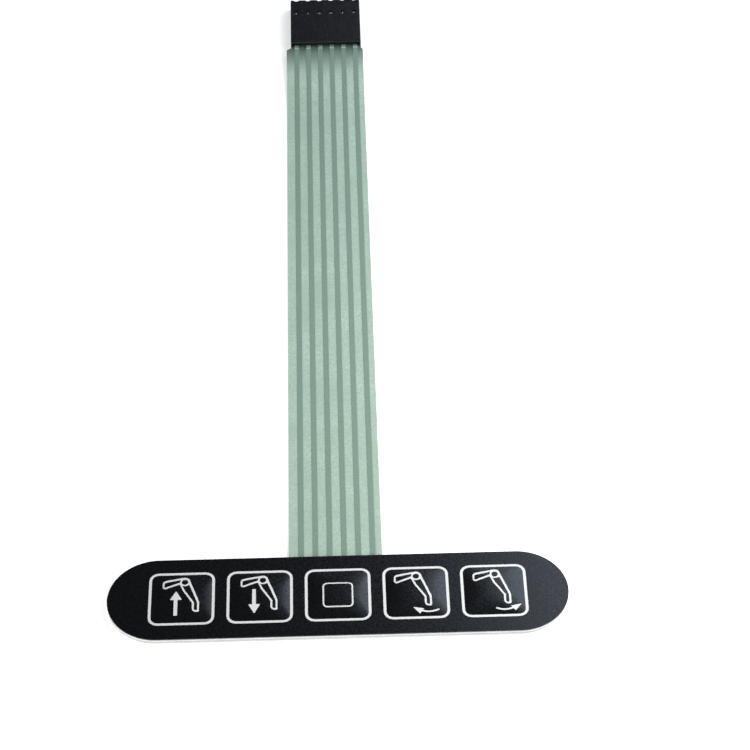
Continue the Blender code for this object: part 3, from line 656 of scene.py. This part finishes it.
class KEYPAD_OT_circuit(bpy.types.Operator):
    """Finish the tail film and its printed conductors"""
    bl_idname = "keypad.circuit"
    bl_label = "Film and Conductors"

    def execute(self, context):
        colours = context.scene.keypad_colours
        cover = context.scene.keypad_sizes.film_cover
        dress(["circuit_film"], varnished_film(colours.film, cover))
        dress(TRACKS, varnished_silver(colours.silver))
        return {"FINISHED"}


class KEYPAD_OT_layers(bpy.types.Operator):
    """Finish the layers and snap domes inside the laminate, and the liner on its back"""
    bl_idname = "keypad.layers"
    bl_label = "Inner Layers and Liner"

    def execute(self, context):
        colours = context.scene.keypad_colours
        dress(ADHESIVES, acrylic_adhesive(colours.adhesive))
        dress(["dome_retainer"], clear_polyester(colours.retainer))
        dress(["release_liner"], release_paper(colours.liner))
        dress(DOMES, rolled_stainless(colours.dome))
        return {"FINISHED"}


class KEYPAD_OT_connector(bpy.types.Operator):
    """Finish the connector housing and its crimp contacts"""
    bl_idname = "keypad.connector"
    bl_label = "Connector"

    def execute(self, context):
        colours = context.scene.keypad_colours
        dress(["connector_housing"], moulded_nylon(colours.housing))
        dress(CONTACTS, tin_plating(colours.contact))
        return {"FINISHED"}


class KEYPAD_OT_stage(bpy.types.Operator):
    """Set the floor, the soft lights, the background and the camera"""
    bl_idname = "keypad.stage"
    bl_label = "Stage"

    floor_gap = 0.05 * MM
    floor_glow = 0.55
    fill_strength = 0.11
    # Between these two the pale wall turns into the dark ceiling. Nought is the horizon and one is
    # straight up.
    wall_top = 0.05
    ceiling_start = 0.35
    # Each light's name, place in metres, turn in degrees, side in metres, power in watts, colour,
    # and whether gloss mirrors it.
    # The panel stands where the right half of the keypad mirrors it, and the low light reaches the
    # sides that face the viewer. The lamp near the right end lights the keys one after another, and
    # isn't mirrored, or the black film would turn silver when it is seen from the left.
    lights = (
        ("near_panel", (0.205, 0.275, 0.155), (-40, 0, 0), 0.30, 0.72, "#E0EDFF", True),
        ("soft_right", (0.140, 0.03, 0.090), (0, 54, 0), 0.15, 0.345, "#FFFFFF", False),
        ("low_left", (-0.30, -0.34, 0.10), (78, 0, -41), 0.35, 2.30, "#FFFFFF", True),
    )

    def seen_rays(self, tree):
        """One for rays that the camera, a gloss or a clear film sends, and nought for others."""
        rays = add_node(tree, "ShaderNodeLightPath").outputs
        glossy = add_node(tree, "ShaderNodeMath",
                          {0: rays["Is Camera Ray"], 1: rays["Is Glossy Ray"]}, operation="ADD")
        clear = add_node(tree, "ShaderNodeMath",
                         {0: glossy.outputs[0], 1: rays["Is Transmission Ray"]},
                         operation="ADD", use_clamp=True)
        return clear.outputs[0]

    def make_floor(self, size, colour):
        """A pale, matt floor that shows white to the camera and keeps the keypad's shadow."""
        mesh = bpy.data.meshes.new("floor")
        bm = bmesh.new()
        bmesh.ops.create_grid(bm, x_segments=1, y_segments=1, size=size / 2)
        bm.to_mesh(mesh)
        bm.free()
        floor = bpy.data.objects.new("floor", mesh)
        floor.location.z = -self.floor_gap
        bpy.context.scene.collection.objects.link(floor)
        material = bpy.data.materials.new("pale_floor")
        material.use_nodes = True
        tree = material.node_tree
        tree.nodes.clear()
        matt = add_node(tree, "ShaderNodeBsdfDiffuse", {"Color": (*colour, 1)})
        strength = add_node(tree, "ShaderNodeMath", {0: self.seen_rays(tree), 1: self.floor_glow},
                            operation="MULTIPLY")
        glow = add_node(tree, "ShaderNodeEmission", {"Strength": strength.outputs[0]})
        both = add_node(tree, "ShaderNodeAddShader", {0: matt.outputs[0], 1: glow.outputs[0]})
        add_node(tree, "ShaderNodeOutputMaterial", {"Surface": both.outputs[0]})
        mesh.materials.append(material)

    def make_world(self):
        """A studio with a pale wall low down and a dark ceiling, and an even soft fill."""
        world = bpy.data.worlds.new("studio")
        world.use_nodes = True
        tree = world.node_tree
        tree.nodes.clear()
        direction = add_node(tree, "ShaderNodeTexCoord").outputs["Generated"]
        height = add_node(tree, "ShaderNodeSeparateXYZ", {"Vector": direction}).outputs["Z"]
        ceiling = add_node(tree, "ShaderNodeMapRange",
                           {"Value": height, "From Min": self.wall_top,
                            "From Max": self.ceiling_start}, interpolation_type="SMOOTHSTEP")
        studio = blend_colours(tree, ceiling.outputs["Result"], "#BCBCBC", "#303032")
        seen = self.seen_rays(tree)
        colour = blend_colours(tree, seen, "#FFFFFF", studio)
        strength = add_node(tree, "ShaderNodeMapRange",
                            {"Value": seen, "To Min": self.fill_strength, "To Max": 1.0})
        background = add_node(tree, "ShaderNodeBackground",
                              {"Color": colour, "Strength": strength.outputs["Result"]})
        add_node(tree, "ShaderNodeOutputWorld", {"Surface": background.outputs[0]})
        bpy.context.scene.world = world

    def make_lights(self):
        """The three soft lights."""
        for name, place, turn, side, power, colour, mirrored in self.lights:
            lamp = bpy.data.lights.new(name, "AREA")
            lamp.shape = "SQUARE"
            lamp.size = side
            lamp.energy = power
            lamp.color = linear(colour)
            light = bpy.data.objects.new(name, lamp)
            light.location = place
            light.rotation_euler = Euler([math.radians(angle) for angle in turn])
            light.visible_glossy = mirrored
            bpy.context.scene.collection.objects.link(light)

    def make_camera(self):
        """The camera that sees the keypad as the picture does."""
        lens = bpy.data.cameras.new("camera")
        lens.lens = CAMERA_LENS
        lens.sensor_width = CAMERA_SENSOR
        lens.clip_start = CAMERA_NEAR
        camera = bpy.data.objects.new("camera", lens)
        camera.location = CAMERA_PLACE
        camera.rotation_euler = Euler([math.radians(angle) for angle in CAMERA_TURN])
        bpy.context.scene.collection.objects.link(camera)
        bpy.context.scene.camera = camera

    def execute(self, context):
        self.make_floor(context.scene.keypad_sizes.floor, context.scene.keypad_colours.floor)
        self.make_world()
        self.make_lights()
        self.make_camera()
        context.scene.view_settings.view_transform = "Standard"
        return {"FINISHED"}


OPERATORS = (KEYPAD_OT_overlay, KEYPAD_OT_print, KEYPAD_OT_circuit, KEYPAD_OT_layers,
             KEYPAD_OT_connector, KEYPAD_OT_stage)


class KEYPAD_PT_panel(bpy.types.Panel):
    """Operators, sizes and colours of the keypad"""
    bl_label = "Membrane Keypad"
    bl_idname = "KEYPAD_PT_panel"
    bl_space_type = "VIEW_3D"
    bl_region_type = "UI"
    bl_category = "Keypad"

    def draw(self, context):
        for operator in OPERATORS:
            self.layout.operator(operator.bl_idname)
        for settings in (context.scene.keypad_sizes, context.scene.keypad_colours):
            for name in settings.__annotations__:
                self.layout.prop(settings, name)


CLASSES = (KeypadSizes, KeypadColours, *OPERATORS, KEYPAD_PT_panel)


def register():
    for kind in CLASSES:
        bpy.utils.register_class(kind)
    bpy.types.Scene.keypad_sizes = PointerProperty(type=KeypadSizes)
    bpy.types.Scene.keypad_colours = PointerProperty(type=KeypadColours)


def unregister():
    del bpy.types.Scene.keypad_colours
    del bpy.types.Scene.keypad_sizes
    for kind in reversed(CLASSES):
        bpy.utils.unregister_class(kind)


def main():
    register()
    bpy.ops.keypad.overlay()
    bpy.ops.keypad.print()
    bpy.ops.keypad.circuit()
    bpy.ops.keypad.layers()
    bpy.ops.keypad.connector()
    bpy.ops.keypad.stage()


if __name__ == "__main__":
    main()
